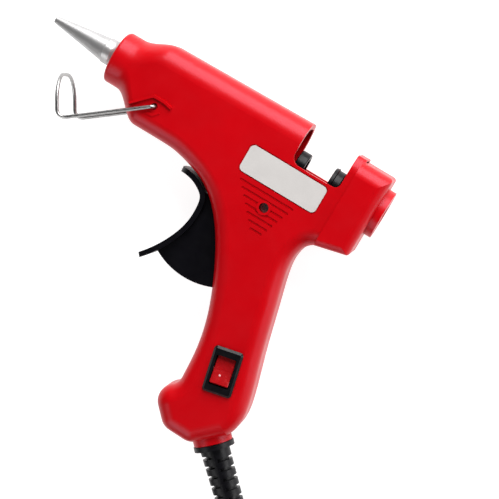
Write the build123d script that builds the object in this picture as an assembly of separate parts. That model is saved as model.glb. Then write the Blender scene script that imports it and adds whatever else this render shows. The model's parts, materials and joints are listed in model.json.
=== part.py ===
"""Mini hot-melt glue gun, lying on its right side.

Lengths are in millimetres.  The gun is drawn in its own coordinates: x runs back from the nozzle tip,
y runs up from the barrel axis, z runs out of the left side from the joint between the two casing halves.
At the end everything is moved so that the origin is under the middle of the gun, on the bench.
"""
from build123d import *
import math
import os

# Casing
HALF_WIDTH = 11.5          # body, from the joint plane to the flat side
BLOCK_HALF = 13.5          # rear block, which stands out of the body and carries the gun when it lies down
WALL = 2.0
EDGE_R = 6.0               # rounding along the underside and the grip
TOP_R = 8.0                # rounding along the top of the barrel
BLOCK_TOP = 13.6
BLOCK_UNDER = (-21.3, -18.2)
BLOCK_CORNER_R = 1.6
BLOCK_TOP_R = 6.0          # roundings of the rear block along its top, back and underside
BLOCK_BACK_R = 4.0
BLOCK_UNDER_R = 3.0
NECK_R = 10.2              # round neck behind the nozzle
NECK_FRONT = 26.7
NECK_BACK = 32.5
NECK_LAP = 0.02            # the flare ends this much inside the barrel, and runs on into it
BARREL_FRONT = 46.0
BARREL_TOP = 14.6
BARREL_TOP_BACK = 16.1
BARREL_BOTTOM = -18.1
BODY_BACK = 127.0
BLOCK_FRONT = 126.2
BLOCK_BACK = 138.9
MOUTH_R = 6.2

# Stick path
STICK_BORE_R = 4.0         # clears a 7 mm glue stick
INLET_R = 9.4
INLET_BACK = 141.8

# Window over the feed carriage
WINDOW_FRONT = 103.0
WINDOW_BACK = 123.4
WINDOW_FLOOR = 0.3
FAR_WINDOW_DROP = 1.0       # the right half's window is cut this much deeper
FLANGE_TOP = 14.7
BULKHEAD = 2.0

# Trigger and feed
PIVOT = (90.4, -29.0)
PIVOT_R = 1.5
RUNNING = 0.06
TRIGGER_SWING = 22.0
TRIGGER_REACH = 28.1       # radius of the trigger's lower edge about its pivot
WEB_HALF = 5.5
PLATE_HALF = 8.0
PLATE_THICK = 2.0
PLATE_END = 0.2
PLATE_CORNER_R = 6.0
ARM = 20.0
ARM_HALF = 2.9
PEG_R = 1.5
ARM_LEAN = TRIGGER_SWING / 2
FORK_IN = 3.3
FORK_OUT = 4.5
RAIL_TOP = -5.0
RAIL_BOTTOM = -8.4
PAWL_PIVOT = (113.5, -6.7)
PAWL_PIN_R = 0.75

# Heater
CHAMBER_R = 6.0
CHAMBER_FRONT = 33.0
CHAMBER_BACK = 72.0
HEATER_FRONT = 41.0
HEATER_BACK = 61.0

# Wire stand
STAND_PIVOT = (50.3, -7.9)
STAND_CORNER = (21.2, -30.0)
STAND_TIP = (12.9, -15.9)
STAND_WIRE_R = 0.7
STAND_Z = 12.6

# Switch, in the grip's left side
SWITCH_AT = (121.35, -78.35)
SWITCH_LEAN = 13.1
BEZEL = (11.2, 17.5)
BEZEL_TOP = 12.9
ROCKER = (7.1, 10.7)
ROCKER_PIVOT_Z = 10.4
ROCKER_AXLE_R = 0.8

# Label, vents and screws
LABEL_X = (88.4, 120.4)
LABEL_Y = (-11.6, -1.0)
LABEL_DEPTH = 0.4
VENTS = 7
VENT_PITCH = 2.28
VENT_DEPTH = 0.3
LEFT_SCREW = (103.7, -19.0)
RIGHT_SCREWS = ((131.8, -12.5), (62.5, 9.4), (113.0, -62.5), (112.0, -101.8))
SCREW_R = 1.1
SCREW_HEAD_R = 1.7
SCREW_HEAD_BASE = 7.0
SCREW_TIP = -6.0
SCREW_BOSS_R = 3.2
SCREW_RING_R = 2.7

# Cord: a light two-core lead with a flat two-pin plug
CORD_D = 5.5
CORD_R = CORD_D / 2
BUTT_TOP = (134.6, -98.8)
BUTT_BOTTOM = (123.9, -109.2)
TOE_AT = (111.0, -98.7)
TOE_R = 6.4
INSTEP_R = 5.5
HEEL_R = 6.4
BOOT_FLANGE = 2.6
BOOT_PLATE = 1.9
BOOT_LENGTH = 33.0
BOOT_LEAN = 2.3            # how far the boot droops from square to the butt
BOOT_R = (5.6, 5.0)
BOOT_PITCH = 3.75
CORD_EXIT = 28.0           # along the boot, where the free cord begins
BENCH_Z = -BLOCK_HALF
COIL_OUTER = 36.0          # middle of the outermost turns
COIL_INNER = 24.8
COIL_STEP = 5.6
COIL_LAYERS = 2
PIN_PITCH = 18.6
PIN_R = 2.0
PIN_LENGTH = 19.0           # out of the plug
PIN_ROOT = 10.0             # inside the plug
PIN_ROOT_R = 1.6
PLUG_THICK = 13.7



def at(plane_points, height=0.0):
    """The same points at one height."""
    return [(x, y, height) for x, y in plane_points]


def unit(dx, dy):
    length = math.hypot(dx, dy)
    return dx / length, dy / length


def disc(center, radius, bottom, top):
    """A round piece standing on the joint plane's normal."""
    return Pos(center[0], center[1], bottom) * Cylinder(
        radius, top - bottom, align=(Align.CENTER, Align.CENTER, Align.MIN))


def block(x_range, y_range, z_range):
    low = (x_range[0], y_range[0], z_range[0])
    size = (x_range[1] - x_range[0], y_range[1] - y_range[0], z_range[1] - z_range[0])
    return Pos(*low) * Box(*size, align=(Align.MIN, Align.MIN, Align.MIN))


def along_barrel(profile):
    """Turns a half profile, given as (x, radius) points, about the barrel axis."""
    points = [(x, r, 0) for x, r in profile]
    return revolve(make_face(Polyline(*points, close=True)), Axis.X)


def plate(points, bottom, top):
    return extrude(Pos(0, 0, bottom) * make_face(Polyline(*points, close=True)), top - bottom)


def mirrored(shape):
    return shape.mirror(Plane.XY)


def both_sides(shape):
    return shape + mirrored(shape)


# ---------------------------------------------------------------- casing

BUTT_DIR = unit(BUTT_TOP[1] - BUTT_BOTTOM[1], BUTT_BOTTOM[0] - BUTT_TOP[0])
BUTT_MID = ((BUTT_TOP[0] + BUTT_BOTTOM[0]) / 2, (BUTT_TOP[1] + BUTT_BOTTOM[1]) / 2)
BUTT_AXIS = Plane(origin=(BUTT_MID[0], BUTT_MID[1], 0), z_dir=(BUTT_DIR[0], BUTT_DIR[1], 0))


def butt_disc(radius, start, end):
    """A round piece on the cord's way out of the grip."""
    return BUTT_AXIS.offset(start) * Cylinder(
        radius, end - start, align=(Align.CENTER, Align.CENTER, Align.MIN))


def butt_point(distance):
    return (BUTT_MID[0] + BUTT_DIR[0] * distance, BUTT_MID[1] + BUTT_DIR[1] * distance)


def polar(center, radius, angle):
    """The place on a circle at an angle in degrees."""
    return center[0] + radius * math.cos(math.radians(angle)), center[1] + radius * math.sin(math.radians(angle))


def toe_edges(inset):
    """Round toe at the grip's foot, and the hollow curve that leads from it up the grip's front."""
    instep_at = polar(TOE_AT, TOE_R + INSTEP_R, 130)
    toe = ThreePointArc(*[polar(TOE_AT, TOE_R - inset, angle) for angle in (225, 180, 130)])
    instep = ThreePointArc(*[polar(instep_at, INSTEP_R + inset, angle) for angle in (-50, -23, 3)])
    return toe, instep


def body_outline():
    """Side outline of barrel and grip, from behind the neck to inside the rear block."""
    underside = (BARREL_FRONT, BARREL_BOTTOM)
    heel = (112.2, -109.0)
    toe, instep = toe_edges(0)
    outline = make_face([
        Line((BARREL_FRONT, BARREL_TOP), (BODY_BACK, BARREL_TOP_BACK)),
        Line((BODY_BACK, BARREL_TOP_BACK), (BODY_BACK, -21.3)),
        Spline((BODY_BACK, -21.3), (123.5, -24.1), (121.9, -29.2), (122.6, -37.0), (125.0, -46.5),
               (130.6, -67.9), (135.1, -83.5), (136.3, -90.5), BUTT_TOP),
        Line(BUTT_TOP, BUTT_BOTTOM),
        Line(BUTT_BOTTOM, heel),
        Line(heel, toe @ 0),
        toe, instep,
        Spline(instep @ 1, (108.3, -80.0), (105.8, -66.3), (101.2, -53.7), (94.9, -41.0), (86.8, -29.6),
               (76.9, -22.15), (66.0, -18.8), (55.0, BARREL_BOTTOM), tangents=(instep % 1, (-1, 0))),
        Line((55.0, BARREL_BOTTOM), underside),
        Line(underside, (BARREL_FRONT, BARREL_TOP))])
    return fillet([v for v in outline.vertices() if v.Y < heel[1] + 0.1], HEEL_R)


def hollow_outline():
    """Side outline of the room inside barrel and grip, a wall's thickness in."""
    top = BARREL_TOP - WALL
    underside = (BARREL_FRONT, BARREL_BOTTOM + WALL)
    heel = (113.1, -107.0)
    toe, instep = toe_edges(WALL)
    return make_face([
        Line((BARREL_FRONT, top), (BODY_BACK, BARREL_TOP_BACK - WALL)),
        Line((BODY_BACK, BARREL_TOP_BACK - WALL), (BODY_BACK, -19.3)),
        Spline((BODY_BACK, -19.3), (121.7, -22.8), (119.8, -29.1), (120.5, -37.5), (122.9, -47.1),
               (128.5, -68.5), (133.0, -84.1), (134.1, -90.6), (132.6, -97.6)),
        Line((132.6, -97.6), (123.1, -107.0)),
        Line((123.1, -107.0), heel),
        Line(heel, toe @ 0),
        toe, instep,
        Spline(instep @ 1, (110.4, -80.0), (107.9, -65.9), (103.2, -52.8), (96.8, -39.9), (88.4, -28.3),
               (77.9, -20.3), (66.2, -16.8), (55.0, underside[1]), tangents=(instep % 1, (-1, 0))),
        Line((55.0, underside[1]), underside),
        Line(underside, (BARREL_FRONT, top))])


def body_half(inset):
    """Left half of barrel and grip; the inset one is the hollow inside."""
    height = HALF_WIDTH - inset
    solid = extrude(hollow_outline() if inset else body_outline(), height)
    rim = solid.edges().filter_by_position(Axis.Z, height - 0.01, height + 0.01)
    solid = fillet([e for e in rim if e.center().Y > 5], TOP_R - inset)
    rim = solid.edges().filter_by_position(Axis.Z, height - 0.01, height + 0.01)
    below = [e for e in rim if e.center().Y < -12]
    return fillet(below, EDGE_R - inset)


def neck_section(x, top, bottom, half, top_r, bottom_r):
    """Left half of a rounded section across the barrel."""
    def corner(y, z, radius, up):
        mid = radius * (1 - math.sqrt(0.5))
        start = (x, y, z - radius)
        end = (x, y - up * radius, z)
        return start, (x, y - up * mid, z - mid), end

    t0, t1, t2 = corner(top, half, top_r, 1)
    b2, b1, b0 = corner(bottom, half, bottom_r, -1)
    edges = [Line((x, top, 0), t0), ThreePointArc(t0, t1, t2), Line(t2, b0), ThreePointArc(b0, b1, b2),
             Line(b2, (x, bottom, 0)), Line((x, bottom, 0), (x, top, 0))]
    return make_face(edges)


def neck_half(inset):
    """Left half of the round neck and of the flare that joins it to the barrel."""
    steps = 5
    sections = []
    for step in range(steps + 1):
        t = step / steps
        rise = t * t * (3 - 2 * t)
        x = NECK_BACK + t * (BARREL_FRONT - NECK_BACK)
        top = NECK_R + (BARREL_TOP - NECK_R) * rise - inset
        bottom = -NECK_R + (BARREL_BOTTOM + NECK_R) * rise + inset
        half = NECK_R + (HALF_WIDTH - NECK_R) * rise - inset
        round_r = NECK_R - 0.5
        top_r = round_r + (TOP_R - round_r) * rise - inset
        bottom_r = round_r + (EDGE_R - round_r) * rise - inset
        small = NECK_LAP if step == steps else 0
        sections.append(neck_section(x, top - small, bottom + small, half - small, top_r, bottom_r))
    flare = loft(sections) + extrude(sections[-1], amount=2.0, dir=(1, 0, 0))
    start = NECK_FRONT + inset * 1.25
    neck = extrude(sections[0], amount=NECK_BACK - start, dir=(-1, 0, 0))
    if not inset:
        rim = neck.edges().filter_by_position(Axis.X, start - 0.01, start + 0.01)
        rim = [e for e in rim if e.center().Z > 0.01]
        neck = fillet(rim, 1.2)
    return flare + neck


def rear_half(inset):
    """Left half of the rear block: rounded sections, cut to its side and plan outlines."""
    half = BLOCK_HALF - inset
    front = BLOCK_FRONT + inset
    back = BLOCK_BACK - inset
    top = BLOCK_TOP - inset
    under_front, under_back = BLOCK_UNDER[0] + inset, BLOCK_UNDER[1] + inset
    radii = (BLOCK_TOP_R - inset, BLOCK_UNDER_R - inset)
    block_half = loft([neck_section(front, top, under_front, half + 0.02, *radii),
                       neck_section(back, top, under_back, half + 0.02, *radii)])
    side = make_face(Polyline((front, under_front), (back, under_back), (back, top), (front, top), close=True))
    if not inset:
        side = fillet([v for v in side.vertices() if v.X > back - 0.01], BLOCK_CORNER_R)
    spare = 20.0
    plan = Plane.XZ * Pos((front - spare + back) / 2, 0) * RectangleRounded(
        back - front + spare, 2 * half, BLOCK_BACK_R - inset)
    return block_half & extrude(side, half) & extrude(plan, 40.0, both=True)


def bare_half():
    """What both casing halves share: walls, ribs, bosses and the openings."""
    inside = HALF_WIDTH - WALL
    outer = body_half(0) + neck_half(0) + rear_half(0)
    outer += Pos(BLOCK_BACK - 0.5, 0, 0) * Rot(0, 90, 0) * Cylinder(
        INLET_R, INLET_BACK - BLOCK_BACK + 0.5, align=(Align.CENTER, Align.CENTER, Align.MIN))
    outer += butt_disc(7.4, -1.0, 2.4)
    outer &= block((0, 200), (-150, 50), (0, 50))
    hollow = body_half(WALL) + neck_half(WALL) + rear_half(WALL)
    hollow += block((BODY_BACK - 3, BLOCK_FRONT + 3), (-18.0, 11.4), (0, inside))
    chamber_room = Pos(20, 0, 0) * Rot(0, 90, 0) * Cylinder(
        CHAMBER_R + RUNNING, 56.0, align=(Align.CENTER, Align.CENTER, Align.MIN))
    hollow -= chamber_ribs() - chamber_room
    hollow -= feed_supports()
    hollow -= disc(PIVOT, 3.6, WEB_HALF + 0.5, HALF_WIDTH)
    for center in (LEFT_SCREW,) + RIGHT_SCREWS:
        hollow -= disc(center, SCREW_BOSS_R, 0, BLOCK_HALF)
    shell = outer - hollow
    shell -= disc(PIVOT, PIVOT_R, 0, inside - 0.5)
    return shell - openings_cut()


def chamber_ribs():
    """Ribs that hold the melt chamber, front and back."""
    ribs = []
    for x in (CHAMBER_FRONT + 1.0, CHAMBER_BACK - 6.0):
        ribs.append(block((x, x + 1.6), (-9.4, 9.0), (CHAMBER_R - 1.0, HALF_WIDTH)))
        ribs.append(block((x, x + 1.6), (7.0, BARREL_TOP), (0, HALF_WIDTH)))
    return Compound(ribs)


def feed_supports():
    """Spring rest, floor under the feed carriage and bulkhead behind the window."""
    spring_rest = block((70.5, 72.5), (BARREL_BOTTOM - 3, -8.6), (0, 5.0))
    floor = block((100.0, WINDOW_BACK + 0.5), (-10.4, -8.8), (1.2, HALF_WIDTH))
    bulkhead = block((WINDOW_BACK, WINDOW_BACK + BULKHEAD), (-19.0, BARREL_TOP_BACK), (0, HALF_WIDTH))
    return Compound([spring_rest, floor, bulkhead])


def window_cut(drop=0.0):
    """Open window above the carriage, through one half."""
    window = make_face([
        Line((WINDOW_FRONT, 30), (WINDOW_FRONT + 0.5, 3.6)),
        ThreePointArc((WINDOW_FRONT + 0.5, 3.6), (WINDOW_FRONT + 1.4, 1.4), (WINDOW_FRONT + 3.6, WINDOW_FLOOR)),
        Line((WINDOW_FRONT + 3.6, WINDOW_FLOOR), (WINDOW_BACK - 2.6, WINDOW_FLOOR)),
        ThreePointArc((WINDOW_BACK - 2.6, WINDOW_FLOOR), (WINDOW_BACK - 0.7, 1.1), (WINDOW_BACK, 3.0)),
        Line((WINDOW_BACK, 3.0), (WINDOW_BACK, 30)),
        Line((WINDOW_BACK, 30), (WINDOW_FRONT, 30))])
    return Pos(0, -drop, 0) * extrude(window, BLOCK_HALF + 5)


def openings_cut():
    """Window, mouth, stick inlet, trigger slot, cord hole and the stand's pivot hole."""
    far = BLOCK_HALF + 5
    cut = window_cut()
    cut += block((WINDOW_BACK - 0.5, BLOCK_BACK + 1), (FLANGE_TOP, 30), (0, far))
    cut += Rot(0, 90, 0) * Cylinder(MOUTH_R, 40, align=(Align.CENTER, Align.CENTER, Align.MIN))
    cut += Pos(WINDOW_BACK - 1, 0, 0) * Rot(0, 90, 0) * Cylinder(
        STICK_BORE_R, 30, align=(Align.CENTER, Align.CENTER, Align.MIN))
    slot = disc(PIVOT, TRIGGER_REACH + 0.8, 0, WEB_HALF + 0.5)
    slot &= block((77.5, 112.0), (-62.0, -22.0), (0, far))
    cut += slot
    cut += butt_disc(4.0, -8.0, 5.0)
    cut += disc(STAND_PIVOT, STAND_WIRE_R + RUNNING, 0, far)
    cut += disc(STAND_PIVOT, STAND_WIRE_R + 0.6, HALF_WIDTH - 0.8, far)
    return cut


def stand_ridges():
    """Ridges beside the stand's pivot: a bent one over it, and a low crescent that the leg passes over."""
    over = [(41.6, -11.5), (45.0, -8.0), (48.4, -4.7), (53.2, -4.7), (56.2, -5.4)]
    under = [(48.8, -11.4), (51.1, -11.1), (53.1, -8.9)]
    base = HALF_WIDTH - 0.6
    ridges = []
    for points, proud in ((over, 0.9), (under, 0.3)):
        ridges.append(extrude(Pos(0, 0, base) * trace(Polyline(*points), line_width=0.9), 0.6 + proud))
    return ridges[0] + ridges[1]


def vent_grooves():
    grooves = []
    for i in range(VENTS):
        y = -14.3 - VENT_PITCH * i
        start = 90.8 + 2.03 * i
        end = 113.4 - 0.9 * i
        groove = Pos((start + end) / 2, y, HALF_WIDTH - VENT_DEPTH) * extrude(SlotOverall(end - start, 1.0), 2.0)
        grooves.append(groove)
    return grooves


def screw_hole(center, head_side):
    """Hole for one screw: pocket and clearance on the head's side, pilot on the other."""
    if not head_side:
        return disc(center, SCREW_R + 0.05, -0.1, 8.0)
    pocket = disc(center, SCREW_HEAD_R + 0.15, SCREW_HEAD_BASE, BLOCK_HALF + 1)
    return disc(center, SCREW_R + 0.3, -0.1, BLOCK_HALF) + pocket


def switch_plane(height=0.0):
    return Location((SWITCH_AT[0], SWITCH_AT[1], height), (0, 0, SWITCH_LEAN))


def make_left_shell(half):
    label_mid = ((LABEL_X[0] + LABEL_X[1]) / 2, (LABEL_Y[0] + LABEL_Y[1]) / 2)
    size = (LABEL_X[1] - LABEL_X[0], LABEL_Y[1] - LABEL_Y[0])
    shell = half + stand_ridges()
    shell -= Pos(label_mid[0], label_mid[1], HALF_WIDTH - LABEL_DEPTH) * extrude(
        RectangleRounded(size[0] + 0.8, size[1] + 0.8, 2.1), 2.0)
    for groove in vent_grooves():
        shell -= groove
    shell += disc(LEFT_SCREW, SCREW_RING_R, HALF_WIDTH - 1.0, HALF_WIDTH + 0.25)
    shell -= switch_plane(0) * extrude(Rectangle(BEZEL[0] - 2.2, BEZEL[1] - 2.2), 20.0)
    shell -= screw_hole(LEFT_SCREW, True)
    for center in RIGHT_SCREWS:
        shell -= screw_hole(center, False)
    return shell


def make_right_shell(half):
    shell = half - window_cut(FAR_WINDOW_DROP) + stand_ridges()
    for groove in vent_grooves():
        shell -= groove
    shell += disc(LEFT_SCREW, SCREW_RING_R, HALF_WIDTH - 1.0, HALF_WIDTH + 0.25)
    shell -= screw_hole(LEFT_SCREW, False)
    for center in RIGHT_SCREWS:
        shell -= screw_hole(center, True)
    for place in clamp_screw_places():
        shell += disc(place, 2.2, 1.0, HALF_WIDTH - WALL + 0.2)
        shell -= disc(place, 0.9, 0.9, 5.0)
    return mirrored(shell)


def make_label():
    mid = ((LABEL_X[0] + LABEL_X[1]) / 2, (LABEL_Y[0] + LABEL_Y[1]) / 2)
    size = (LABEL_X[1] - LABEL_X[0], LABEL_Y[1] - LABEL_Y[0])
    return Pos(mid[0], mid[1], HALF_WIDTH - LABEL_DEPTH) * extrude(
        RectangleRounded(size[0], size[1], 1.8), LABEL_DEPTH + 0.1)


def one_screw(center):
    """Cross-head screw at the bottom of its pocket."""
    head = disc(center, SCREW_HEAD_R, SCREW_HEAD_BASE, SCREW_HEAD_BASE + 1.5)
    for size in ((0.5, 2.2), (2.2, 0.5)):
        head -= Pos(center[0], center[1], SCREW_HEAD_BASE + 1.7) * Box(size[0], size[1], 2.0)
    return head + disc(center, SCREW_R, SCREW_TIP, SCREW_HEAD_BASE)


def make_body_screws():
    return Compound([one_screw(LEFT_SCREW)] + [mirrored(one_screw(center)) for center in RIGHT_SCREWS])


# ---------------------------------------------------------------- nozzle and heater

def make_nozzle():
    return along_barrel([(-0.7, 0.75), (-0.7, 1.2), (-0.5, 1.4), (21.6, 4.65), (21.9, 5.0), (24.6, 5.0),
                         (25.2, 4.75), (25.8, 5.0), (36.0, 5.0), (36.0, 3.0), (26.0, 3.0), (21.0, 2.4)])


def make_nozzle_bush():
    front = NECK_FRONT + 2.6
    back = front + 2.6
    return along_barrel([(front, 5.0 + RUNNING), (front, 8.0), (back, 8.0), (back, 5.0 + RUNNING)])


def make_melt_chamber():
    front = CHAMBER_FRONT
    chamber = along_barrel([(front - 5.0, 1.6), (front - 5.0, 3.0), (front + 3.0, 3.0), (front + 3.0, CHAMBER_R),
                            (CHAMBER_BACK, CHAMBER_R), (CHAMBER_BACK, 3.75), (front + 8.0, 3.75)])
    seat = block((HEATER_FRONT - 1, HEATER_BACK + 1), (-8.0, -4.5), (-5.6, 5.6))
    return chamber + (seat - Rot(0, 90, 0) * Cylinder(CHAMBER_R - 1, 200))


def make_heater_film():
    """Folded insulating film around the heater, open at the ends."""
    outer = block((HEATER_FRONT, HEATER_BACK), (-11.6, -8.05), (-5.6, 5.6))
    return outer - block((HEATER_FRONT - 1, HEATER_BACK + 1), (-11.45, -8.2), (-5.45, 5.45))


def make_heater_electrodes():
    upper = block((HEATER_FRONT + 1, HEATER_BACK + 4), (-8.6, -8.25), (-4.5, 4.5))
    lower = block((HEATER_FRONT + 1, HEATER_BACK + 4), (-11.4, -11.05), (-4.5, 4.5))
    return Compound([upper, lower])


def make_ptc_heater():
    return block((HEATER_FRONT + 2, HEATER_BACK - 2), (-11.0, -8.65), (-4.0, 4.0))


def make_heater_clip():
    """Spring-steel band that presses the heater against the chamber."""
    x_range = (HEATER_FRONT + 6, HEATER_BACK - 6)
    outer = block(x_range, (-12.4, CHAMBER_R + 0.9), (-CHAMBER_R - 0.9, CHAMBER_R + 0.9))
    inner = block((x_range[0] - 1, x_range[1] + 1), (-11.7, CHAMBER_R + 0.3), (-CHAMBER_R - 0.3, CHAMBER_R + 0.3))
    return outer - inner


def make_inlet_sleeve():
    return along_barrel([(CHAMBER_BACK - 4, CHAMBER_R), (CHAMBER_BACK - 4, 7.4), (CHAMBER_BACK + 5, 7.4),
                         (CHAMBER_BACK + 6.5, 5.6), (CHAMBER_BACK + 12, 5.6), (CHAMBER_BACK + 12, 4.9),
                         (CHAMBER_BACK + 4, 3.8), (CHAMBER_BACK, 3.8), (CHAMBER_BACK, CHAMBER_R)])


def make_sleeve_clip():
    ring = Pos(CHAMBER_BACK - 1.5, 0, 0) * Rot(0, 90, 0) * Torus(7.8, 0.35)
    return ring


# ---------------------------------------------------------------- trigger and feed

ARM_PEG = polar(PIVOT, ARM, 90 - ARM_LEAN)


def rounded_end(tip, way, across):
    """Room for the finger plate behind one rounded end: tip is the end, way points out of it."""
    length = 120.0
    plane = Plane(origin=(tip[0], tip[1], 0), x_dir=(way[0], way[1], 0), z_dir=(across[0], across[1], 0))
    return extrude(plane * Pos(PLATE_END / 2 - length / 2, 0) * RectangleRounded(
        length + PLATE_END, 2 * PLATE_HALF, PLATE_CORNER_R), 60.0, both=True)


def make_trigger():
    """Finger plate, web behind it, hub, and the arm whose peg drives the carriage."""
    top = (69.4, -23.0)
    bottom = (72.0, -58.4)
    finger = [(82.8, -31.7), (82.8, -36.4), (81.7, -41.9), (79.7, -46.9), (77.0, -51.8)]
    face_curve = Spline(top, (75.8, -23.4), (79.2, -25.1), (81.7, -27.4), *finger, bottom)
    finger_plate = extrude(Pos(0, 0, -PLATE_HALF) * trace(face_curve, line_width=PLATE_THICK), 2 * PLATE_HALF)
    finger_plate &= rounded_end(top, (-1.0, 0.0), (0.0, 1.0))
    finger_plate &= rounded_end(bottom, unit(-0.61, -0.79), unit(0.79, -0.61))
    low, mid, back = [polar(PIVOT, TRIGGER_REACH, angle) for angle in (240.5, 272, 300)]
    web = make_face([
        Spline((80.6, -25.9), *finger, low),
        ThreePointArc(low, mid, back),
        Line(back, (94.0, -30.0)),
        Line((94.0, -30.0), (90.4, -25.2)),
        Line((90.4, -25.2), (80.6, -25.9))])
    trigger = finger_plate + extrude(Pos(0, 0, -WEB_HALF) * web, 2 * WEB_HALF)
    trigger += disc(PIVOT, 4.2, -WEB_HALF, WEB_HALF)
    across = (2.1 * math.cos(math.radians(ARM_LEAN)), -2.1 * math.sin(math.radians(ARM_LEAN)))
    arm = [(PIVOT[0] - 3, PIVOT[1]), (PIVOT[0] + 3, PIVOT[1]), (ARM_PEG[0] + across[0], ARM_PEG[1] + across[1]),
           (ARM_PEG[0] - across[0], ARM_PEG[1] - across[1])]
    trigger += plate(arm, -ARM_HALF, ARM_HALF)
    trigger += disc(ARM_PEG, 2.1, -ARM_HALF, ARM_HALF)
    trigger += disc(ARM_PEG, PEG_R, -FORK_OUT, FORK_OUT)
    return trigger - disc(PIVOT, PIVOT_R + RUNNING, -20, 20)


def make_trigger_pin():
    return disc(PIVOT, PIVOT_R, -(HALF_WIDTH - WALL - 0.6), HALF_WIDTH - WALL - 0.6)


def make_feed_slider():
    """Carriage: two rings round the stick, a rail under them, and a fork for the trigger's peg."""
    slider = along_barrel([(104.5, 0), (104.5, 5.3), (104.8, 5.6), (108.0, 5.6), (108.3, 5.3), (108.3, 0)])
    slider += along_barrel([(118.5, 0), (118.5, 6.3), (119.8, 6.6), (120.1, 6.1), (122.5, 6.1), (122.8, 5.8),
                            (122.8, 0)])
    slider += block((97.2, 122.8), (RAIL_BOTTOM, RAIL_TOP), (-FORK_OUT, FORK_OUT))
    cheek = block((88.4, 99.0), (-13.0, -6.2), (FORK_IN, FORK_OUT))
    slot = Pos(ARM_PEG[0], -9.2, FORK_IN - 1) * extrude(Rot(0, 0, 90) * SlotOverall(4.6, 2 * PEG_R + 0.5), 4.0)
    slider += both_sides(cheek - slot)
    slider += block((88.4, 89.6), (-13.0, -9.0), (-FORK_OUT, FORK_OUT))
    slider += block((87.4, 88.6), (-11.9, -10.1), (-0.9, 0.9))
    slider -= Pos(90, 0, 0) * Rot(0, 90, 0) * Cylinder(STICK_BORE_R, 60, align=(Align.CENTER,) * 2 + (Align.MIN,))
    slider -= block((109.4, 116.4), (RAIL_BOTTOM - 1, RAIL_TOP + 1), (-2.3, 2.3))
    return slider - disc(PAWL_PIVOT, PAWL_PIN_R, -10, 10)


def make_grip_pawl():
    """Toothed pawl in the carriage that bites the stick as it moves forward."""
    x, y = PAWL_PIVOT
    tooth = [(x + 1.7, y), (x + 1.2, y + 1.5), (x - 2.4, y + 2.6), (x - 3.3, y + 2.8), (x - 3.6, y + 1.6),
             (x - 1.5, y - 0.8)]
    pawl = plate(tooth, -2.0, 2.0) + disc(PAWL_PIVOT, 1.6, -2.0, 2.0)
    return pawl - disc(PAWL_PIVOT, PAWL_PIN_R + RUNNING, -5, 5)


def make_grip_pin():
    return disc(PAWL_PIVOT, PAWL_PIN_R, -FORK_OUT, FORK_OUT)


def make_return_spring():
    wire = 0.3
    turns = 7
    length = 88.4 - 72.5 - 2 * wire - 0.1
    path = Helix(length / turns, length, 1.7)
    coil = sweep(Plane(origin=path @ 0, z_dir=path % 0) * Circle(wire), path=path)
    return Pos(72.5 + wire + 0.05, -11.0, 0) * Rot(0, 90, 0) * coil


# ---------------------------------------------------------------- wire stand

def make_wire_stand():
    """One bent wire: an eye through each side of the casing, two legs and a turned-up loop."""
    inner = 10.2
    points = at([STAND_PIVOT], inner) + at([STAND_PIVOT, STAND_CORNER, STAND_TIP], STAND_Z)
    points += at([STAND_TIP, STAND_CORNER, STAND_PIVOT], -STAND_Z) + at([STAND_PIVOT], -inner)
    path = FilletPolyline(*points, radius=[1.2, 3.0, 10.0, 10.0, 3.0, 1.2])
    return sweep(Plane(origin=points[0], z_dir=(0, 0, 1)) * Circle(STAND_WIRE_R), path=path)


# ---------------------------------------------------------------- switch

def rocker_axle(radius, length):
    return Pos(0, 0, ROCKER_PIVOT_Z) * Rot(0, 90, 0) * Cylinder(radius, length)


def make_switch_housing():
    bezel = extrude(RectangleRounded(BEZEL[0], BEZEL[1], 1.3), BEZEL_TOP - HALF_WIDTH)
    top_rim = bezel.edges().filter_by_position(Axis.Z, BEZEL_TOP - HALF_WIDTH - 0.01, 99)
    bezel = Pos(0, 0, HALF_WIDTH) * chamfer(top_rim, 0.8)
    body = Pos(0, 0, 0.8) * extrude(Rectangle(BEZEL[0] - 2.4, BEZEL[1] - 2.4), HALF_WIDTH - 0.8)
    well = Pos(0, 0, 5.5) * extrude(RectangleRounded(ROCKER[0] + 0.5, ROCKER[1] + 0.5, 0.4), 10)
    return switch_plane() * (bezel + body - well - rocker_axle(ROCKER_AXLE_R + RUNNING, BEZEL[0]))


def make_switch_rocker():
    """Rocker with its lower end standing proud; it turns about its short axis."""
    half = ROCKER[1] / 2
    profile = [(half - 0.05, 11.2), (0.3, 12.0), (-half + 0.75, 13.4), (-half + 0.15, 12.3), (-half, 11.2),
               (-half + 0.35, 8.2), (-1.5, 6.9), (1.5, 6.9), (half - 0.35, 8.2)]
    face = make_face(Polyline(*[(0, u, z) for u, z in profile], close=True))
    rocker = extrude(face, amount=ROCKER[0] / 2, both=True)
    long_top = [e for e in rocker.edges() if e.center().Z > 10.9 and abs(e.tangent_at(0.5).X) < 0.5]
    rocker = fillet(long_top, 0.35) + rocker_axle(ROCKER_AXLE_R, ROCKER[0] + 1.5)
    return switch_plane() * rocker


def make_switch_terminals():
    blades = [Pos(0, y, -4.6) * Box(4.0, 0.7, 5.3, align=(Align.CENTER,) * 2 + (Align.MIN,)) for y in (-4.5, 4.5)]
    return Compound([switch_plane() * b for b in blades])


# ---------------------------------------------------------------- wiring

def tube(points, radii, radius):
    path = FilletPolyline(*points, radius=radii)
    start_dir = tuple(b - a for a, b in zip(points[0], points[1]))
    return sweep(Plane(origin=points[0], z_dir=start_dir) * Circle(radius), path=path)


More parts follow.
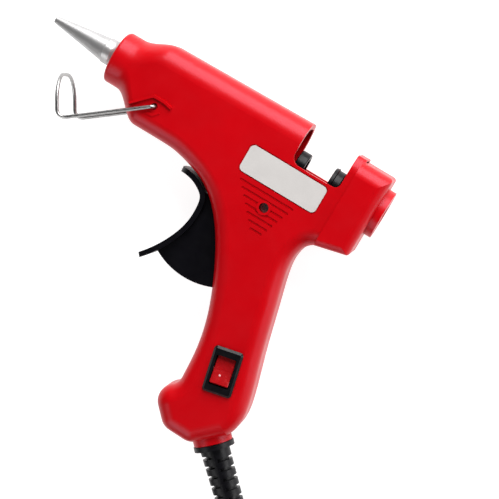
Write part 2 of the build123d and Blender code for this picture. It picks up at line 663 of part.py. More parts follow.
def make_lead_wires():
    """One wire from the cord to the switch, and one on to the heater along the casing's right side."""
    wire = 0.75
    to_switch = [(119.6, -92.6, -1.6), (119.2, -88.6, -5.6), (121.8, -84.2, -5.8)]
    to_heater = [(119.9, -72.6, -5.8), (118.5, -66.0, -8.2), (115.5, -45.0, -8.2), (111.5, -24.0, -8.2),
                 (107.6, -13.2, -8.2), (92.0, -13.8, -8.2), (75.0, -14.4, -7.6), (66.3, -11.2, -4.0)]
    return Compound([tube(to_switch, [2.2], wire), tube(to_heater, [5.0, 6.0, 12.0, 12.0, 6.0, 12.0], wire)])


def clamp_screw_places():
    """Either side of the cord, square to its way in."""
    x, y = butt_point(-14.0)
    return [(x - BUTT_DIR[1] * side, y + BUTT_DIR[0] * side) for side in (-5.2, 5.2)]


def make_cord_clamp():
    """Bar across the cord's inner end, screwed to two posts in the right casing half."""
    x, y = butt_point(-14.0)
    bar = Pos(x, y, CORD_R + 0.1) * Rot(0, 0, 45) * extrude(RectangleRounded(4.6, 14.4, 1.5), 2.0)
    for place in clamp_screw_places():
        bar -= disc(place, 0.95, 0, 9)
    return bar


def make_clamp_screws():
    head_base = CORD_R + 2.15
    screws = [disc(place, 0.85, -4.5, head_base) + disc(place, 1.7, head_base, head_base + 1.2)
              for place in clamp_screw_places()]
    return Compound(screws)


# ---------------------------------------------------------------- cord

BOOT_ROOT = BOOT_FLANGE + BOOT_PLATE
LEAN = math.radians(BOOT_LEAN)
BOOT_DIR = (BUTT_DIR[0] * math.cos(LEAN) - BUTT_DIR[1] * math.sin(LEAN),
            BUTT_DIR[1] * math.cos(LEAN) + BUTT_DIR[0] * math.sin(LEAN), 0)
BOOT_AXIS = Plane(origin=(*butt_point(BOOT_ROOT), 0), x_dir=(0, 0, 1), z_dir=BOOT_DIR)


def rod(radius, start, end):
    return Pos(0, 0, start) * Cylinder(radius, end - start, align=(Align.CENTER,) * 2 + (Align.MIN,))


def cord_room(inner, outer):
    """The cord's own shape, from inside the grip to a distance along the boot."""
    ends = [butt_point(inner), butt_point(BOOT_ROOT), BOOT_AXIS.from_local_coords((0, 0, outer))]
    return tube([(point[0], point[1], 0) for point in ends[:2]] + [tuple(ends[2])], [80.0], CORD_R)


def make_cord_boot():
    """Rubber strain relief: a plate against the grip, then a sleeve with slots left and right in turn."""
    boot = butt_disc(3.9, -6.0, BOOT_FLANGE + 0.1) + butt_disc(7.7, BOOT_FLANGE, BOOT_ROOT)
    boot += BOOT_AXIS * Cone(*BOOT_R, BOOT_LENGTH, align=(Align.CENTER,) * 2 + (Align.MIN,))
    slots = 8
    for i in range(slots):
        for side, shift in ((1, 0.0), (-1, BOOT_PITCH / 2)):
            start = 2.0 + i * BOOT_PITCH + shift
            ring = rod(8.0, start, start + 1.3) - rod(4.2, start, start + 1.3)
            boot -= BOOT_AXIS * (ring & Pos(0, side * 10.8, BOOT_LENGTH / 2) * Box(40, 20, 2 * BOOT_LENGTH))
    return boot - cord_room(-20.0, BOOT_LENGTH + 1)


def make_cord_end():
    """The clamped end of the cord, inside the grip and the boot."""
    return cord_room(-14.0, CORD_EXIT - 0.25)


# Out of the boot, over to the bench and round to the coil
LEAD = [(152.7, -126.5, 0.0), (168.8, -141.8, -1.5), (175.6, -164.8, -6.5), (171.9, -188.0, -10.75),
        (160.8, -205.2, -10.75)]
COIL_START_ANGLE = math.degrees(math.atan2(LEAD[-1][1] - LEAD[-2][1], LEAD[-1][0] - LEAD[-2][0])) + 90
COIL_AT = (LEAD[-1][0] - COIL_OUTER * math.cos(math.radians(COIL_START_ANGLE)),
           LEAD[-1][1] - COIL_OUTER * math.sin(math.radians(COIL_START_ANGLE)))
COIL_TOP = BENCH_Z + CORD_D + (COIL_LAYERS - 1) * COIL_STEP
PLUG_Z = BENCH_Z + PLUG_THICK / 2
# From the coil's top layer to the plug
TAIL = [(COIL_AT[0], COIL_AT[1] - COIL_OUTER, COIL_TOP - CORD_R),
        (COIL_AT[0] - 17.0, COIL_AT[1] - COIL_OUTER - 0.5, COIL_TOP - CORD_R - 1.2),
        (COIL_AT[0] - 35.0, COIL_AT[1] - COIL_OUTER + 1.0, PLUG_Z - 0.6),
        (COIL_AT[0] - 51.0, COIL_AT[1] - COIL_OUTER, PLUG_Z)]
PLUG_FRONT_X = TAIL[-1][0] + 4.0 - 46.0


def corner_radii(route):
    """The largest arc that each corner's two runs leave room for."""
    radii = []
    for a, b, c in zip(route, route[1:], route[2:]):
        before = Vector(*b) - Vector(*a)
        after = Vector(*c) - Vector(*b)
        turn = math.radians(before.get_angle(after))
        radii.append(0.45 * min(before.length, after.length) / math.tan(turn / 2))
    return radii


def make_cord(name, route):
    radii = corner_radii(route)
    path = FilletPolyline(*route, radius=radii)
    start_dir = tuple(b - a for a, b in zip(route[0], route[1]))
    solid = sweep(Plane(origin=route[0], z_dir=start_dir) * Circle(CORD_R), path=path)
    straight = math.pi * CORD_R ** 2 * path.length
    print(name, "length", round(path.length, 1), "radii", [round(r, 1) for r in radii],
          "volume ratio", round(solid.volume / straight, 4))
    return solid


def make_cord_coil():
    """Outer shape of the wound cord."""
    outer = COIL_OUTER + CORD_R
    inner = COIL_INNER - CORD_R
    ring = Cylinder(outer, COIL_TOP - BENCH_Z, align=(Align.CENTER,) * 2 + (Align.MIN,))
    ring -= Cylinder(inner, COIL_TOP - BENCH_Z, align=(Align.CENTER,) * 2 + (Align.MIN,))
    rims = ring.edges().filter_by(GeomType.CIRCLE)
    return Pos(COIL_AT[0], COIL_AT[1], BENCH_Z) * fillet(rims, 2.4)


def make_plug_body():
    """Flat two-pin plug, pins towards the front of the gun."""
    y0 = TAIL[-1][1]
    front = PLUG_FRONT_X
    half = 17.6
    outline = [(front, -half + 3), (front + 4, -half), (front + 14, -half + 1.0), (front + 35, -6.5),
               (front + 46, -4.2), (front + 46, 4.2), (front + 35, 6.5), (front + 14, half - 1.0),
               (front + 4, half), (front, half - 3)]
    face = make_face(Polyline(*[(x, y + y0) for x, y in outline], close=True))
    body = extrude(Pos(0, 0, BENCH_Z) * face, PLUG_THICK)
    body = fillet(body.edges().filter_by_position(Axis.Z, PLUG_Z + 1, 99), 2.4)
    body = fillet(body.edges().filter_by_position(Axis.Z, -99, PLUG_Z - 1), 2.4)
    neck = block((front + 33, front + 60), (y0 - 20, y0 + 20), (PLUG_Z + 4.4, 99))
    body -= neck + block((front + 33, front + 60), (y0 - 20, y0 + 20), (-99, PLUG_Z - 4.4))
    roots = [pin_rod(y, front - 1, front + PIN_ROOT, PIN_ROOT_R) for y in pin_places()]
    return body - Compound(roots)


def pin_places():
    y0 = TAIL[-1][1]
    return [y0 - PIN_PITCH / 2, y0 + PIN_PITCH / 2]


def pin_rod(y, start, end, radius):
    return Pos(start, y, PLUG_Z) * Rot(0, 90, 0) * Cylinder(radius, end - start, align=(Align.CENTER,) * 2 + (Align.MIN,))


def make_plug_pins():
    pins = []
    start = PLUG_FRONT_X - PIN_LENGTH
    for y in pin_places():
        pin = pin_rod(y, start, PLUG_FRONT_X, PIN_R)
        tip = pin.edges().filter_by(GeomType.CIRCLE).filter_by_position(Axis.X, start - 0.1, start + 0.1)
        pins.append(fillet(tip, 1.4) + pin_rod(y, PLUG_FRONT_X - 1, PLUG_FRONT_X + PIN_ROOT, PIN_ROOT_R))
    return Compound(pins)


# ---------------------------------------------------------------- assembly

def make_parts():
    half = bare_half()
    return {
        "left_shell": make_left_shell(half),
        "right_shell": make_right_shell(half),
        "label": make_label(),
        "body_screws": make_body_screws(),
        "nozzle": make_nozzle(),
        "nozzle_bush": make_nozzle_bush(),
        "melt_chamber": make_melt_chamber(),
        "heater_film": make_heater_film(),
        "heater_electrodes": make_heater_electrodes(),
        "ptc_heater": make_ptc_heater(),
        "heater_clip": make_heater_clip(),
        "inlet_sleeve": make_inlet_sleeve(),
        "sleeve_clip": make_sleeve_clip(),
        "trigger": make_trigger(),
        "trigger_pin": make_trigger_pin(),
        "feed_slider": make_feed_slider(),
        "grip_pawl": make_grip_pawl(),
        "grip_pin": make_grip_pin(),
        "return_spring": make_return_spring(),
        "wire_stand": make_wire_stand(),
        "switch_housing": make_switch_housing(),
        "switch_rocker": make_switch_rocker(),
        "switch_terminals": make_switch_terminals(),
        "lead_wires": make_lead_wires(),
        "cord_clamp": make_cord_clamp(),
        "clamp_screws": make_clamp_screws(),
        "cord_boot": make_cord_boot(),
        "cord_end": make_cord_end(),
        "cord_lead": make_cord("cord_lead", LEAD),
        "cord_coil": make_cord_coil(),
        "cord_tail": make_cord("cord_tail", TAIL),
        "plug_body": make_plug_body(),
        "plug_pins": make_plug_pins(),
    }


CORD_NODES = ("cord_lead", "cord_coil", "cord_tail", "plug_body", "plug_pins")


def gun_origin(parts):
    """Point on the bench under the middle of the gun's box, cord left out."""
    boxes = [shape.bounding_box() for name, shape in parts.items() if name not in CORD_NODES]
    x = (min(b.min.X for b in boxes) + max(b.max.X for b in boxes)) / 2
    y = (min(b.min.Y for b in boxes) + max(b.max.Y for b in boxes)) / 2
    return x, y, BENCH_Z


PARTS = make_parts()
ORIGIN = gun_origin(PARTS)
print("origin", [round(v, 3) for v in ORIGIN])
os.makedirs("parts", exist_ok=True)
for node, shape in PARTS.items():
    export_step(Pos(-ORIGIN[0], -ORIGIN[1], -ORIGIN[2]) * shape, f"parts/{node}.step")
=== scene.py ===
import bpy
import json
import math
from mathutils import Matrix, Vector


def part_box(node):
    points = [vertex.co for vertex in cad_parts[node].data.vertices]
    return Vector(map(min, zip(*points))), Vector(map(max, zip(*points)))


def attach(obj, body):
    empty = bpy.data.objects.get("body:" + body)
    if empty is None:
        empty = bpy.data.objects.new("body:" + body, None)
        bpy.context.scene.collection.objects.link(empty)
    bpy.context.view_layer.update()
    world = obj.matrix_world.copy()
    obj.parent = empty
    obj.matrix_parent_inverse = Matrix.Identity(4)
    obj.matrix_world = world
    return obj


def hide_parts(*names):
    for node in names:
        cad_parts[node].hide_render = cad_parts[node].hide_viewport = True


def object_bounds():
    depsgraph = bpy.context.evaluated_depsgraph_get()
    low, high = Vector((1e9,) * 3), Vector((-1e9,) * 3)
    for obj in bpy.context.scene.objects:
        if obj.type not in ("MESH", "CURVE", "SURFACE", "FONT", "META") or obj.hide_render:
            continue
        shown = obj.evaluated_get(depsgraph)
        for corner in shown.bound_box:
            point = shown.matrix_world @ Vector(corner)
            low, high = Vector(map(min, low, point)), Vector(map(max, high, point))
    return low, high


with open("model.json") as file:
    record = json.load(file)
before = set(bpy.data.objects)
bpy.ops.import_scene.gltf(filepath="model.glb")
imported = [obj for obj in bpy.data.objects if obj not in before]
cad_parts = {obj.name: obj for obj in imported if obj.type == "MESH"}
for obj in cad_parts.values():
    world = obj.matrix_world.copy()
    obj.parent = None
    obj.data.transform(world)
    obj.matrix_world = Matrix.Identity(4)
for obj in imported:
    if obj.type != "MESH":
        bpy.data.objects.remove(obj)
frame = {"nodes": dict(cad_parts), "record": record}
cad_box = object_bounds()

MM = 0.001
NOISE_BAND = (0.3, 0.7)        # most of a noise's values lie between these

# ---------------------------------------------------------------- places
# Gun coordinates, in millimetres: x back from the nozzle tip, y up from the barrel axis, z out of the left
# side from the casing's joint. The nozzle's box says where they lie in the frame.

NOZZLE_TIP_X = -0.7
NOZZLE_LOW, NOZZLE_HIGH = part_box("nozzle")
GUN_ZERO = Vector((NOZZLE_LOW.x - NOZZLE_TIP_X * MM, (NOZZLE_LOW.y + NOZZLE_HIGH.y) / 2,
                   (NOZZLE_LOW.z + NOZZLE_HIGH.z) / 2))


def gun(x, y, z=0.0):
    """A place in gun coordinates, in the frame's metres."""
    return GUN_ZERO + Vector((x, y, z)) * MM


# ---------------------------------------------------------------- materials

class Shader:
    """One material's node tree, with the few node patterns that the materials share."""

    def __init__(self, name, color, roughness, metallic=0.0, **inputs):
        self.material = bpy.data.materials.new(name)
        self.material.use_nodes = True
        self.tree = self.material.node_tree
        self.surface = self.tree.nodes["Principled BSDF"]
        self.put("Base Color", (*color, 1.0))
        self.put("Roughness", roughness)
        self.put("Metallic", metallic)
        for socket, value in inputs.items():
            self.put(socket.replace("_", " "), value)
        self.where = self.node("ShaderNodeTexCoord").outputs["Object"]

    def put(self, socket, value):
        self.surface.inputs[socket].default_value = value

    def node(self, kind, **settings):
        made = self.tree.nodes.new(kind)
        for key, value in settings.items():
            setattr(made, key, value)
        return made

    def link(self, out, into):
        self.tree.links.new(out, into)

    def noise(self, size_mm, detail=3.0, rough=0.5, stretch=None):
        """Noise whose features are about size_mm across."""
        made = self.node("ShaderNodeTexNoise")
        made.inputs["Scale"].default_value = 1.0 / (size_mm * MM)
        made.inputs["Detail"].default_value = detail
        made.inputs["Roughness"].default_value = rough
        where = self.where
        if stretch:
            mapping = self.node("ShaderNodeMapping")
            mapping.inputs["Scale"].default_value = stretch
            self.link(where, mapping.inputs["Vector"])
            where = mapping.outputs["Vector"]
        self.link(where, made.inputs["Vector"])
        return made.outputs["Fac"]

    def spread(self, value, low, high, low_to=0.0, high_to=1.0):
        """Maps low..high of a value onto another range, held at the ends."""
        made = self.node("ShaderNodeMapRange")
        for socket, number in zip(("From Min", "From Max", "To Min", "To Max"), (low, high, low_to, high_to)):
            made.inputs[socket].default_value = number
        self.link(value, made.inputs["Value"])
        return made.outputs["Result"]

    def math(self, operation, a, b):
        made = self.node("ShaderNodeMath", operation=operation)
        for socket, value in zip(made.inputs, (a, b)):
            if isinstance(value, (int, float)):
                socket.default_value = value
            else:
                self.link(value, socket)
        return made.outputs["Value"]

    def colors(self, value, first, second):
        """Base colour between two tones by a value."""
        made = self.node("ShaderNodeMix", data_type="RGBA")
        made.inputs["A"].default_value = (*first, 1.0)
        made.inputs["B"].default_value = (*second, 1.0)
        self.link(value, made.inputs["Factor"])
        return made.outputs["Result"]

    def mix(self, value, under, over):
        """A plain tone laid over another colour by a value."""
        made = self.node("ShaderNodeMix", data_type="RGBA")
        self.link(value, made.inputs["Factor"])
        self.link(under, made.inputs["A"])
        made.inputs["B"].default_value = (*over, 1.0)
        return made.outputs["Result"]

    def mottle(self, first, second, band=NOISE_BAND, **texture):
        """Base colour that drifts between two tones."""
        self.base(self.colors(self.spread(self.noise(**texture), *band), first, second))

    def rub(self, smooth, dull, band=NOISE_BAND, **texture):
        """Roughness that drifts between two values."""
        self.roughness(self.spread(self.noise(**texture), *band, smooth, dull))

    def relief(self, depth_mm, strength, onto=None, **texture):
        """Noise relief, laid over an earlier one where there is one."""
        return self.bump(self.noise(**texture), depth_mm, strength, onto)

    def base(self, out):
        self.link(out, self.surface.inputs["Base Color"])

    def roughness(self, out):
        self.link(out, self.surface.inputs["Roughness"])

    def bump(self, height, depth_mm, strength=1.0, onto=None):
        made = self.node("ShaderNodeBump")
        made.inputs["Strength"].default_value = strength
        made.inputs["Distance"].default_value = depth_mm * MM
        self.link(height, made.inputs["Height"])
        if onto:
            self.link(onto, made.inputs["Normal"])
        self.link(made.outputs["Normal"], self.surface.inputs["Normal"])
        return made.outputs["Normal"]


def tone(color, factor):
    return tuple(min(1.0, c * factor) for c in color)


def seam_profile(s, width_mm, to_off, to_on):
    """A value that changes only in a thin band at the casing's joint plane."""
    height = s.node("ShaderNodeSeparateXYZ")
    s.link(s.where, height.inputs["Vector"])
    distance = s.math("ABSOLUTE", s.math("SUBTRACT", height.outputs["Z"], GUN_ZERO.z), 0.0)
    return s.spread(distance, 0.25 * width_mm * MM, 0.5 * width_mm * MM, to_on, to_off)


def red_plastic():
    """Satin moulded casing: fine spark-eroded grain, faint flow clouds, handling rub, joint line."""
    red = (0.545, 0.0005, 0.0034)
    s = Shader("red_plastic", red, roughness=0.33, Specular_IOR_Level=0.26,
               Specular_Tint=(1.0, 0.80, 1.0, 1.0))
    clouds = s.spread(s.noise(size_mm=18.0, detail=4.0, rough=0.55), *NOISE_BAND)
    clouded = s.colors(clouds, tone(red, 0.95), tone(red, 1.04))
    line = seam_profile(s, width_mm=0.36, to_off=0.0, to_on=1.0)
    s.base(s.mix(line, clouded, tone(red, 0.3)))
    s.rub(smooth=0.30, dull=0.38, band=(0.35, 0.7), size_mm=7.0, detail=5.0, rough=0.6)
    fine = s.relief(depth_mm=0.030, strength=0.35, size_mm=0.34, rough=0.6)
    waves = s.relief(depth_mm=0.10, strength=0.25, onto=fine, size_mm=9.0, detail=2.0)
    groove = seam_profile(s, width_mm=0.5, to_off=1.0, to_on=0.0)
    s.bump(groove, depth_mm=0.15, strength=0.6, onto=waves)
    return s.material


def black_plastic():
    """Moulded trigger, carriage and small inner parts: faint clouds, rub and grain."""
    dark = (0.0024, 0.0022, 0.0036)
    s = Shader("black_plastic", dark, roughness=0.30, Specular_IOR_Level=0.20)
    s.mottle(tone(dark, 0.8), tone(dark, 1.35), size_mm=10.0, detail=4.0)
    s.rub(smooth=0.27, dull=0.38, size_mm=3.0, detail=5.0, rough=0.6)
    s.relief(depth_mm=0.02, strength=0.35, size_mm=0.30, rough=0.6)
    return s.material


def nozzle_metal():
    """Nickel plate with turned rings and a warm bloom."""
    plate = (0.50, 0.495, 0.495)
    s = Shader("nozzle_metal", plate, roughness=0.36, metallic=0.7)
    s.mottle(plate, tone(plate, 0.9), size_mm=4.0, detail=4.0)
    s.rub(smooth=0.30, dull=0.42, size_mm=1.2, detail=4.0, rough=0.6)
    s.relief(depth_mm=0.012, strength=0.4, size_mm=0.5, stretch=(1.0, 0.02, 0.02))
    return s.material


def steel():
    """Drawn wire, pins, clips and screws."""
    bright = (0.46, 0.455, 0.45)
    s = Shader("steel", bright, roughness=0.33, metallic=1.0)
    s.mottle(bright, tone(bright, 0.72), band=(0.35, 0.7), size_mm=1.5, detail=4.0)
    s.rub(smooth=0.27, dull=0.42, size_mm=0.8, detail=4.0)
    s.relief(depth_mm=0.006, strength=0.4, size_mm=0.15, detail=2.0)
    return s.material


def aluminium():
    cast = (0.62, 0.63, 0.64)
    s = Shader("aluminium", cast, roughness=0.45, metallic=1.0)
    s.mottle(cast, tone(cast, 0.82), size_mm=2.5, detail=4.0)
    s.relief(depth_mm=0.03, strength=0.5, size_mm=0.4, detail=4.0, rough=0.6)
    return s.material


def brass_metal():
    yellow = (0.72, 0.52, 0.24)
    s = Shader("brass_metal", yellow, roughness=0.3, metallic=1.0)
    s.mottle(yellow, tone(yellow, 0.75), size_mm=2.0, detail=4.0)
    s.relief(depth_mm=0.01, strength=0.4, size_mm=0.3)
    return s.material


def label_sheet():
    """Blank vinyl label: slight yellowing and printing mottle."""
    sheet = (0.630, 0.603, 0.585)
    s = Shader("label_sheet", sheet, roughness=0.42)
    s.mottle(tone(sheet, 0.965), tone(sheet, 1.02), size_mm=6.0, detail=4.0)
    s.rub(smooth=0.36, dull=0.50, size_mm=2.0, detail=4.0)
    s.relief(depth_mm=0.01, strength=0.3, size_mm=0.6)
    return s.material


def switch_red():
    """Translucent red rocker."""
    glow = (0.40, 0.0030, 0.0060)
    s = Shader("switch_red", glow, roughness=0.22, Subsurface_Weight=0.25, Subsurface_Scale=0.002)
    s.mottle(tone(glow, 0.9), tone(glow, 1.1), size_mm=3.0)
    s.rub(smooth=0.18, dull=0.30, size_mm=1.5, detail=4.0)
    s.relief(depth_mm=0.006, strength=0.3, size_mm=0.5, detail=2.0)
    return s.material


def switch_black():
    """Rocker frame."""
    dark = (0.0030, 0.0030, 0.0042)
    s = Shader("switch_black", dark, roughness=0.28, Specular_IOR_Level=0.26)
    s.mottle(tone(dark, 0.85), tone(dark, 1.4), size_mm=5.0, detail=4.0)
    s.rub(smooth=0.26, dull=0.40, size_mm=1.5, detail=5.0, rough=0.6)
    s.relief(depth_mm=0.01, strength=0.3, size_mm=0.25, detail=2.0)
    return s.material


def heater_ceramic():
    pale = (0.50, 0.47, 0.42)
    s = Shader("heater_ceramic", pale, roughness=0.7)
    s.mottle(pale, tone(pale, 0.85), size_mm=1.0, detail=4.0)
    s.relief(depth_mm=0.02, strength=0.5, size_mm=0.3)
    return s.material


def film():
    amber = (0.55, 0.20, 0.03)
    s = Shader("film", amber, roughness=0.2)
    s.mottle(amber, tone(amber, 0.8), size_mm=3.0)
    s.relief(depth_mm=0.02, strength=0.3, size_mm=2.0, detail=2.0)
    return s.material


def silicone():
    milky = (0.62, 0.59, 0.53)
    s = Shader("silicone", milky, roughness=0.55, Subsurface_Weight=0.1, Subsurface_Scale=0.002)
    s.mottle(milky, tone(milky, 0.88), size_mm=3.0, detail=4.0)
    s.relief(depth_mm=0.02, strength=0.4, size_mm=0.5)
    return s.material


def black_rubber():
    """Moulded rubber with a dusty bloom."""
    dark = (0.0026, 0.0024, 0.0036)
    s = Shader("black_rubber", dark, roughness=0.34, Specular_IOR_Level=0.22)
    s.mottle(dark, tone(dark, 1.7), band=(0.35, 0.75), size_mm=4.0, detail=5.0, rough=0.6)
    s.rub(smooth=0.30, dull=0.46, size_mm=2.0, detail=4.0)
    s.relief(depth_mm=0.03, strength=0.4, size_mm=0.35, rough=0.6)
    return s.material


def cord_sheath():
    dark = (0.0034, 0.0032, 0.0042)
    s = Shader("cord_sheath", dark, roughness=0.38, Specular_IOR_Level=0.26)
    s.mottle(dark, tone(dark, 1.8), size_mm=6.0, detail=4.0)
    s.rub(smooth=0.34, dull=0.52, size_mm=2.5, detail=4.0)
    s.relief(depth_mm=0.02, strength=0.4, size_mm=0.5, rough=0.6)
    return s.material


def wire_sheath():
    blue = (0.03, 0.08, 0.42)
    s = Shader("wire_sheath", blue, roughness=0.35)
    s.mottle(blue, tone(blue, 0.75), size_mm=3.0)
    s.relief(depth_mm=0.01, strength=0.3, size_mm=0.4, detail=2.0)
    return s.material


def bench_top():
    """White bench that gives off light of its own."""
    white = (0.40, 0.40, 0.40)
    s = Shader("bench_top", white, roughness=0.9, Emission_Color=(1.0, 1.0, 1.0, 1.0),
               Emission_Strength=0.9)
    s.mottle(white, tone(white, 0.99), size_mm=60.0)
    return s.material


def pip_painted_glint():
    """Pale dot on the rocker: a moulded dot whose pale colour is a painted glint."""
    # pale pink tone is a painted glint, lighter than the red rocker
    pale = (0.78, 0.40, 0.42)
    s = Shader("pip_painted_glint", pale, roughness=0.3)
    s.mottle(tone(pale, 0.94), tone(pale, 1.05), size_mm=0.6)
    return s.material


MAKERS = (red_plastic, black_plastic, nozzle_metal, steel, aluminium, brass_metal, label_sheet, switch_red,
          switch_black, heater_ceramic, film, silicone, black_rubber, cord_sheath, wire_sheath)
MATERIALS = {maker.__name__: maker() for maker in MAKERS}


def finish_cad_nodes():
    """Every design node takes the detailed material of its slot."""
    for part in frame["record"]["subparts"]:
        for place in frame["nodes"][part["node"]].material_slots:
            place.material = MATERIALS[part["material_slot"]]


PIP_AT = (121.1, -80.0)
PIP_BELOW_TOP = 0.872          # the rocker's face at the pip, under its highest point
PIP_R = 0.55
PIP_RISE = 0.14
PIP_NORMAL = (-0.062, 0.268, 0.962)
PIP_RINGS = 6
PIP_SIDES = 24


def make_pip():
    """Low domed dot near the rocker's lower end, square to its sloping face."""
    points = []
    for ring in range(PIP_RINGS + 1):
        reach = ring / PIP_RINGS
        rise = PIP_RISE * (1 - 2 * reach * reach)
        for side in range(PIP_SIDES):
            angle = 2 * math.pi * side / PIP_SIDES
            point = (PIP_R * reach * math.cos(angle), PIP_R * reach * math.sin(angle), rise)
            points.append(tuple(c * MM for c in point))
    faces = []
    for ring in range(PIP_RINGS):
        for side in range(PIP_SIDES):
            after = (side + 1) % PIP_SIDES
            low, high = ring * PIP_SIDES, (ring + 1) * PIP_SIDES
            faces.append((low + side, high + side, high + after, low + after))
    mesh = bpy.data.meshes.new("rocker_pip")
    mesh.from_pydata(points, [], faces)
    # the moulded dot takes a pale painted-glint colour
    mesh.materials.append(pip_painted_glint())
    for face in mesh.polygons:
        face.use_smooth = True
    pip = bpy.data.objects.new("rocker_pip", mesh)
    bpy.context.scene.collection.objects.link(pip)
    place = gun(*PIP_AT)
    place.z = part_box("switch_rocker")[1].z - PIP_BELOW_TOP * MM
    turn = Vector(PIP_NORMAL).to_track_quat("Z", "Y").to_matrix().to_4x4()
    pip.matrix_world = Matrix.Translation(place) @ turn
    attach(pip, "switch_rocker")


# ---------------------------------------------------------------- cord

CORD_D = 5.5
BENCH_Z = -13.5
LEAD = [(152.7, -126.5, 0.0), (168.8, -141.8, -1.5), (175.6, -164.8, -6.5), (171.9, -188.0, -10.75),
        (160.8, -205.2, -10.75)]
TURN_RADII = (36.0, 30.4, 24.8)
LAYER = 5.6
TURNS = 5.16
TURN_POINTS = 16
STEPS_IN = ((0.72, 1.0), (1.72, 2.0))      # turns over which the coil steps in a row, on the bench
STEP_UP = (2.45, 2.7)
STEPS_OUT = ((3.4, 3.65), (4.35, 4.6))     # and out again on top
TAIL_RUN = ((-17.0, -0.5), (-35.0, 1.0), (-51.0, 0.0))     # from under the coil's middle to the plug
TAIL_DROPS = (1.2, 0.6)                    # below the coil's top layer, then below the plug's middle
PLUG_RISE = 6.85                           # the plug's middle above the bench


def coil_angle():
    (x0, y0, _), (x1, y1, _) = LEAD[-2:]
    return math.atan2(y1 - y0, x1 - x0) + math.pi / 2


def coil_centre():
    angle = coil_angle()
    return LEAD[-1][0] - TURN_RADII[0] * math.cos(angle), LEAD[-1][1] - TURN_RADII[0] * math.sin(angle)


def ease(t, start, end):
    t = max(0.0, min(1.0, (t - start) / (end - start)))
    return t * t * (3 - 2 * t)


def coil_points():
    """In along the bench to the innermost turn, up one layer, and out again on top."""
    outer, middle, inner = TURN_RADII
    cx, cy = coil_centre()
    floor = BENCH_Z + CORD_D / 2
    points = []
    steps = round(TURNS * TURN_POINTS)
    for i in range(1, steps + 1):
        t = TURNS * i / steps
        radius = outer + (middle - outer) * ease(t, *STEPS_IN[0]) + (inner - middle) * ease(t, *STEPS_IN[1])
        radius += (middle - inner) * ease(t, *STEPS_OUT[0]) + (outer - middle) * ease(t, *STEPS_OUT[1])
        angle = coil_angle() - 2 * math.pi * t
        height = floor + LAYER * ease(t, *STEP_UP)
        points.append((cx + radius * math.cos(angle), cy + radius * math.sin(angle), height))
    return points


def tail_points():
    cx, cy = coil_centre()
    top = BENCH_Z + CORD_D / 2 + LAYER
    plug = BENCH_Z + PLUG_RISE
    heights = (top - TAIL_DROPS[0], plug - TAIL_DROPS[1], plug)
    south = cy - TURN_RADII[0]
    return [(cx + across, south + along, height) for (across, along), height in zip(TAIL_RUN, heights)]


def nurbs_curve(name, points, radius):
    data = bpy.data.curves.new(name, "CURVE")
    data.dimensions = "3D"
    spline = data.splines.new("NURBS")
    spline.points.add(len(points) - 1)
    for place, point in zip(spline.points, points):
        place.co = (*gun(*point), 1.0)
    spline.order_u = 3
    spline.use_endpoint_u = True
    spline.resolution_u = 6
    data.bevel_depth = radius * MM
    data.bevel_resolution = 4
    data.use_fill_caps = True
    made = bpy.data.objects.new(name, data)
    bpy.context.scene.collection.objects.link(made)
    return made


def make_cord():
    points = LEAD + coil_points() + tail_points()
    cord = nurbs_curve("mains_cord", points, CORD_D / 2)
    cord.data.materials.append(MATERIALS["cord_sheath"])
    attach(cord, "housing")
    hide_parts("cord_lead", "cord_coil", "cord_tail")


# ---------------------------------------------------------------- stage

VIEW_DISTANCE = 600.0
FOCAL_PIXELS = 1620.0
FRAME_PIXELS = 499.0
ROLL = math.radians(30.6)
TOWARD_RIGHT = math.radians(9.0)
TOWARD_TOP = math.radians(4.0)
LOOK_AT = (105.8, -36.3, 0.0)
LIGHT_DISTANCE = 0.9
BENCH_HALF = 2.0
WORLD_STRENGTH = 0.05


def view_axes():
    """Right, up and toward-camera directions of the picture."""
    right0 = Vector((math.cos(ROLL), math.sin(ROLL), 0))
    up0 = Vector((-math.sin(ROLL), math.cos(ROLL), 0))
    toward = (right0 * math.sin(TOWARD_RIGHT) * math.cos(TOWARD_TOP) + up0 * math.sin(TOWARD_TOP)
              + Vector((0, 0, math.cos(TOWARD_RIGHT) * math.cos(TOWARD_TOP))))
    right = up0.cross(toward).normalized()
    return right, toward.cross(right), toward


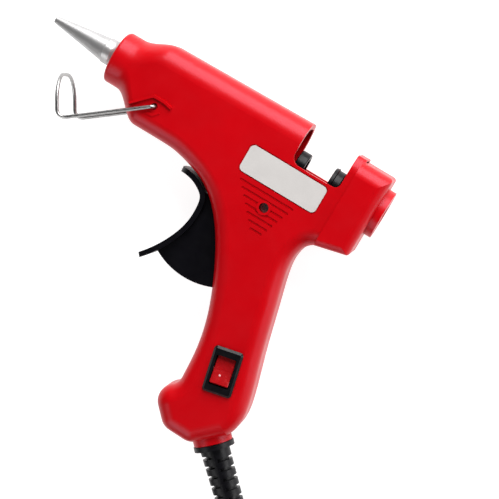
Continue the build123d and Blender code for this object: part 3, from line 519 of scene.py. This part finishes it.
def make_camera():
    right, up, toward = view_axes()
    data = bpy.data.cameras.new("camera")
    data.lens = FOCAL_PIXELS / FRAME_PIXELS * data.sensor_width
    camera = bpy.data.objects.new("camera", data)
    bpy.context.scene.collection.objects.link(camera)
    turn = Matrix((right, up, toward)).transposed().to_4x4()
    camera.matrix_world = Matrix.Translation(gun(*LOOK_AT) + toward * VIEW_DISTANCE * MM) @ turn
    bpy.context.scene.camera = camera


def make_light(name, across, upward, forward, size, radiance):
    """A square softbox, placed by picture directions and aimed at the gun."""
    right, up, toward = view_axes()
    direction = (right * across + up * upward + toward * forward).normalized()
    data = bpy.data.lights.new(name, "AREA")
    data.size = size
    data.energy = radiance * math.pi * size * size
    light = bpy.data.objects.new(name, data)
    bpy.context.scene.collection.objects.link(light)
    light.matrix_world = (Matrix.Translation(gun(*LOOK_AT) + direction * LIGHT_DISTANCE)
                          @ direction.to_track_quat("Z", "Y").to_matrix().to_4x4())


def make_stage():
    make_light("key", across=0.26, upward=0.78, forward=0.58, size=0.80, radiance=7.6)
    make_light("right_fill", across=0.88, upward=-0.15, forward=0.45, size=0.50, radiance=4.5)
    make_light("low_fill", across=-0.58, upward=-0.72, forward=0.38, size=0.70, radiance=2.6)
    world = bpy.data.worlds.new("studio")
    world.use_nodes = True
    background = world.node_tree.nodes["Background"]
    background.inputs["Color"].default_value = (1.0, 1.0, 1.0, 1.0)
    background.inputs["Strength"].default_value = WORLD_STRENGTH
    bpy.context.scene.world = world
    mesh = bpy.data.meshes.new("bench")
    corners = [(BENCH_HALF * x, BENCH_HALF * y, 0) for x, y in ((-1, -1), (1, -1), (1, 1), (-1, 1))]
    mesh.from_pydata(corners, [], [(0, 1, 2, 3)])
    bench = bpy.data.objects.new("bench", mesh)
    bench.location.z = cad_box[0][2]
    bpy.context.scene.collection.objects.link(bench)
    mesh.materials.append(bench_top())


bpy.context.scene.view_settings.view_transform = "Standard"
make_camera()
make_stage()
finish_cad_nodes()
make_pip()
make_cord()
